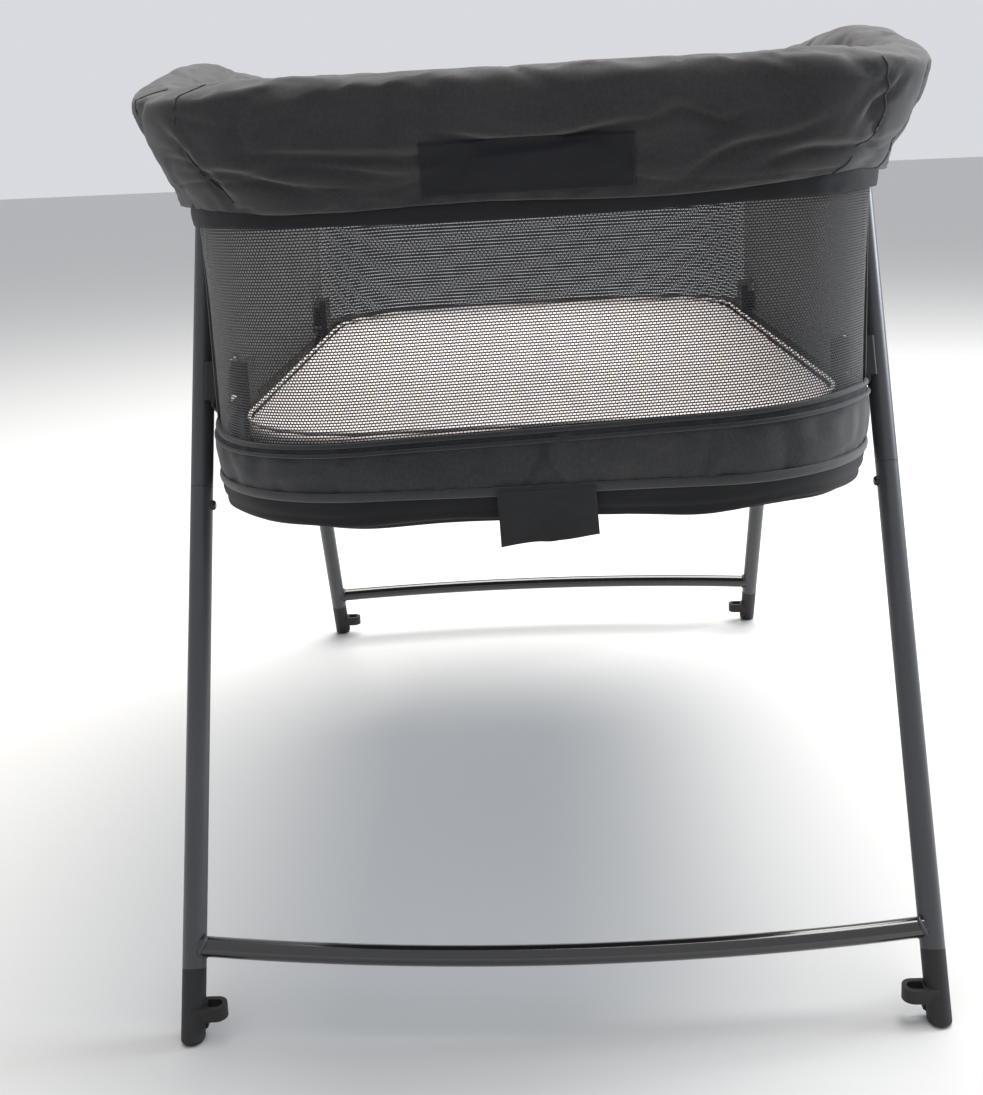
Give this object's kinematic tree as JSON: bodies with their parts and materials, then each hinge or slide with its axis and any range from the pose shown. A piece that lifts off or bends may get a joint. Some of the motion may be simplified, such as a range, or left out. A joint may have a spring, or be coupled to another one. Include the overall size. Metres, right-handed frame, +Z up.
{
  "type": "bassinet on folding stand",
  "caption": "Bassinet basket with a flared padded collar, mesh end panels and a padded base, carried on a splayed stand of steel tubes with crossbars, foot caps and release buttons.",
  "frame": {"origin": "on the floor, under the middle of the basket", "axes": "+Z up, +Y along the long side towards the far end, +X to the right as seen from the near end"},
  "size_m": [0.617, 0.9462, 0.757],
  "materials": {
    "leg_paint": "satin dark grey powder coat",
    "bar_paint": "gloss black paint",
    "frame_paint": "satin black paint",
    "steel": "zinc plated",
    "black_plastic": "fine moulded texture",
    "button_plastic": "smooth moulded",
    "board": "fibreboard",
    "under_fabric": "plain weave, loose",
    "band_fabric": "plain weave, padded",
    "trim_fabric": "woven tape and cord",
    "mesh_fabric": "open knitted mesh",
    "wall_fabric": "close knitted mesh",
    "collar_fabric": "brushed plain weave, padded",
    "foam": "foam",
    "mattress_fabric": "soft quilted cotton, off-white"
  },
  "bodies": {
    "basket": {"rim_rail_near": "frame_paint", "rim_rail_far": "frame_paint", "rim_joint_left": "black_plastic", "rim_joint_right": "black_plastic", "leg_pivot_bracket_near_left": "black_plastic", "leg_pivot_bracket_near_right": "black_plastic", "leg_pivot_bracket_far_left": "black_plastic", "leg_pivot_bracket_far_right": "black_plastic", "pivot_pins": "steel", "base_ring": "frame_paint", "base_cross_tube_near": "frame_paint", "base_cross_tube_middle": "frame_paint", "base_cross_tube_far": "frame_paint", "base_board": "board", "base_hook_near_left": "black_plastic", "base_hook_near_right": "black_plastic", "base_hook_far_left": "black_plastic", "base_hook_far_right": "black_plastic", "hook_screws": "steel", "base_cover": "under_fabric", "base_band": "band_fabric", "band_piping": "trim_fabric", "band_binding": "trim_fabric", "pull_tab": "band_fabric", "mesh_panel_near": "mesh_fabric", "mesh_panel_far": "mesh_fabric", "side_wall_left": "wall_fabric", "side_wall_right": "wall_fabric", "collar_near": "collar_fabric", "collar_far": "collar_fabric", "collar_left": "collar_fabric", "collar_right": "collar_fabric", "collar_patch": "band_fabric"},
    "mattress": {"mattress_core": "foam", "mattress_cover": "mattress_fabric"},
    "near_upper_legs": {"upper_leg_near_left": "leg_paint", "upper_leg_near_right": "leg_paint", "leg_top_plugs_near": "black_plastic"},
    "near_leg_unit": {"lower_leg_near_left": "leg_paint", "lower_leg_near_right": "leg_paint", "leg_spigot_near_left": "steel", "leg_spigot_near_right": "steel", "foot_cap_near_left": "black_plastic", "foot_cap_near_right": "black_plastic", "crossbar_near": "bar_paint"},
    "button_near_left": {"release_button_near_left": "button_plastic"},
    "button_near_right": {"release_button_near_right": "button_plastic"},
    "far_upper_legs": {"upper_leg_far_left": "leg_paint", "upper_leg_far_right": "leg_paint", "leg_top_plugs_far": "black_plastic"},
    "far_leg_unit": {"lower_leg_far_left": "leg_paint", "lower_leg_far_right": "leg_paint", "leg_spigot_far_left": "steel", "leg_spigot_far_right": "steel", "foot_cap_far_left": "black_plastic", "foot_cap_far_right": "black_plastic", "crossbar_far": "bar_paint"},
    "button_far_left": {"release_button_far_left": "button_plastic"},
    "button_far_right": {"release_button_far_right": "button_plastic"}
  },
  "joints": [
    {"name": "near_fold", "type": "hinge", "parent": "basket", "child": "near_upper_legs", "pos_m": [0, -0.1385, 0.7], "axis": [1, 0, 0], "range_deg": [0, 24.9]},
    {"name": "near_leg_pull", "type": "slide", "parent": "near_upper_legs", "child": "near_leg_unit", "axis": [0, -0.4216, -0.9068], "range_m": [0, 0.1]},
    {"name": "press_button_near_left", "type": "slide", "parent": "near_leg_unit", "child": "button_near_left", "axis": [-1, 0, 0], "range_m": [0, 0.0024], "stiffness_N_per_m": 400, "springref_m": -0.001},
    {"name": "press_button_near_right", "type": "slide", "parent": "near_leg_unit", "child": "button_near_right", "axis": [1, 0, 0], "range_m": [0, 0.0024], "stiffness_N_per_m": 400, "springref_m": -0.001},
    {"name": "far_fold", "type": "hinge", "parent": "basket", "child": "far_upper_legs", "pos_m": [0, 0.1385, 0.7], "axis": [-1, 0, 0], "range_deg": [0, 24.9]},
    {"name": "far_leg_pull", "type": "slide", "parent": "far_upper_legs", "child": "far_leg_unit", "axis": [0, 0.4216, -0.9068], "range_m": [0, 0.1]},
    {"name": "press_button_far_left", "type": "slide", "parent": "far_leg_unit", "child": "button_far_left", "axis": [-1, 0, 0], "range_m": [0, 0.0024], "stiffness_N_per_m": 400, "springref_m": -0.001},
    {"name": "press_button_far_right", "type": "slide", "parent": "far_leg_unit", "child": "button_far_right", "axis": [1, 0, 0], "range_m": [0, 0.0024], "stiffness_N_per_m": 400, "springref_m": -0.001},
    {"name": "mattress_lift", "type": "slide", "parent": "basket", "child": "mattress", "axis": [0, 0, 1], "range_m": [0, 0.35]}
  ]
}
